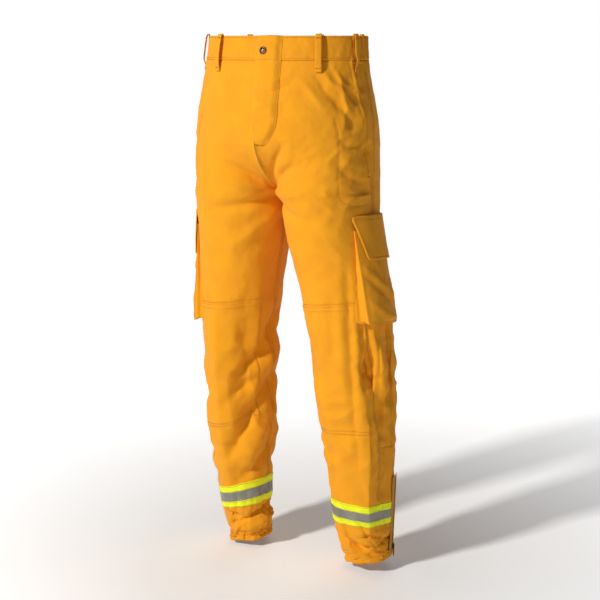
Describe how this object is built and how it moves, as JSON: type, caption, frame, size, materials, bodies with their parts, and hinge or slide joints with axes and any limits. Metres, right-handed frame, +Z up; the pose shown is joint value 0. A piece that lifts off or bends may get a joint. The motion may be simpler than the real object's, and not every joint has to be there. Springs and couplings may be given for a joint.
{
  "type": "firefighting trousers",
  "caption": "Yellow-orange firefighting trousers in worn shape, with belt loops, snap fly, flapped cargo pockets, knee patches, lime and silver trim and leg zips.",
  "frame": {"origin": "middle of the waist opening, level with the waistband's top edge", "axes": "+X towards the wearer's left, -Y out of the front, +Z up"},
  "size_m": [0.433, 0.2801, 1.0787],
  "materials": {
    "shell_cloth": "matt, plain weave flame-resistant cloth",
    "lime_trim": "matt fluorescent ribbed tape",
    "silver_trim": "retroreflective satin tape",
    "snap_metal": "dark antique finish",
    "zip_metal": "dull brass",
    "zip_tape": "matt woven tape",
    "hook_and_loop": "matt pile",
    "pocket_bag": "matt, light plain weave",
    "elastic": "matt ribbed elastic"
  },
  "bodies": {
    "root": {"left_front_panel": "shell_cloth", "right_front_panel": "shell_cloth", "left_back_panel": "shell_cloth", "right_back_panel": "shell_cloth", "left_waistband": "shell_cloth", "right_waistband": "shell_cloth", "waist_elastic": "elastic", "belt_loops": "shell_cloth", "fly_shield": "shell_cloth", "waist_underlap": "shell_cloth", "fly_seam": "shell_cloth", "fly_tapes": "zip_tape", "fly_chain": "zip_metal", "snap_stud": "snap_metal", "left_front_pocket_bag": "pocket_bag", "right_front_pocket_bag": "pocket_bag", "left_front_pocket_facing": "shell_cloth", "right_front_pocket_facing": "shell_cloth", "left_cargo_face": "shell_cloth", "right_cargo_face": "shell_cloth", "left_cargo_gusset": "shell_cloth", "right_cargo_gusset": "shell_cloth", "left_cargo_header": "shell_cloth", "right_cargo_header": "shell_cloth", "left_cargo_loop": "hook_and_loop", "right_cargo_loop": "hook_and_loop", "left_rear_pocket": "shell_cloth", "right_rear_pocket": "shell_cloth", "left_knee_patch": "shell_cloth", "right_knee_patch": "shell_cloth", "left_trim_lime": "lime_trim", "right_trim_lime": "lime_trim", "left_trim_silver": "silver_trim", "right_trim_silver": "silver_trim", "left_hem_cuff": "shell_cloth", "right_hem_cuff": "shell_cloth", "left_leg_placket": "shell_cloth", "right_leg_placket": "shell_cloth", "left_leg_tape": "zip_tape", "right_leg_tape": "zip_tape", "left_leg_chain": "zip_metal", "right_leg_chain": "zip_metal"},
    "fly_flap": {"waist_tab": "shell_cloth", "fly_facing": "shell_cloth", "snap_cap": "snap_metal", "snap_socket": "snap_metal"},
    "fly_slider_body": {"fly_slider": "zip_metal", "fly_pull": "zip_metal"},
    "left_cargo_flap_body": {"left_cargo_flap": "shell_cloth", "left_cargo_hook": "hook_and_loop"},
    "left_rear_flap_body": {"left_rear_flap": "shell_cloth"},
    "left_leg_slider_body": {"left_leg_slider": "zip_metal", "left_leg_pull": "zip_metal"},
    "left_ankle_tab_body": {"left_ankle_tab": "shell_cloth"},
    "right_cargo_flap_body": {"right_cargo_flap": "shell_cloth", "right_cargo_hook": "hook_and_loop"},
    "right_rear_flap_body": {"right_rear_flap": "shell_cloth"},
    "right_leg_slider_body": {"right_leg_slider": "zip_metal", "right_leg_pull": "zip_metal"},
    "right_ankle_tab_body": {"right_ankle_tab": "shell_cloth"}
  },
  "joints": [
    {"name": "fly_flap_hinge", "type": "hinge", "parent": "root", "child": "fly_flap", "pos_m": [0.0382, -0.12547, -0.09675], "axis": [0, 0.1711, 0.9853], "range_deg": [0, 75]},
    {"name": "fly_slider_slide", "type": "slide", "parent": "root", "child": "fly_slider_body", "axis": [0, -0.1711, -0.9853], "range_m": [0, 0.12]},
    {"name": "left_cargo_flap_hinge", "type": "hinge", "parent": "root", "child": "left_cargo_flap_body", "pos_m": [0.19209, 0.00735, -0.34497], "axis": [-0.0348, -0.9974, 0.0631], "range_deg": [0, 150]},
    {"name": "left_rear_flap_hinge", "type": "hinge", "parent": "root", "child": "left_rear_flap_body", "pos_m": [0.11155, 0.098, -0.1], "axis": [0.8785, -0.4778, 0], "range_deg": [0, 140]},
    {"name": "left_leg_slider_slide", "type": "slide", "parent": "root", "child": "left_leg_slider_body", "axis": [0.0509, -0.0527, 0.9973], "range_m": [0, 0.145]},
    {"name": "left_ankle_tab_hinge", "type": "hinge", "parent": "root", "child": "left_ankle_tab_body", "pos_m": [0.15869, 0.00961, -1.0495], "axis": [0.1228, 0.1584, -0.9797], "range_deg": [0, 90]},
    {"name": "right_cargo_flap_hinge", "type": "hinge", "parent": "root", "child": "right_cargo_flap_body", "pos_m": [-0.19736, 0.00512, -0.35531], "axis": [-0.0348, 0.997, -0.0693], "range_deg": [0, 150]},
    {"name": "right_rear_flap_hinge", "type": "hinge", "parent": "root", "child": "right_rear_flap_body", "pos_m": [-0.11155, 0.098, -0.1], "axis": [0.8785, 0.4778, 0], "range_deg": [0, 140]},
    {"name": "right_leg_slider_slide", "type": "slide", "parent": "root", "child": "right_leg_slider_body", "axis": [-0.1772, -0.0716, 0.9816], "range_m": [0, 0.145]},
    {"name": "right_ankle_tab_hinge", "type": "hinge", "parent": "root", "child": "right_ankle_tab_body", "pos_m": [-0.12135, 0.01367, -1.05793], "axis": [-0.0382, -0.1772, 0.9834], "range_deg": [0, 90]}
  ]
}
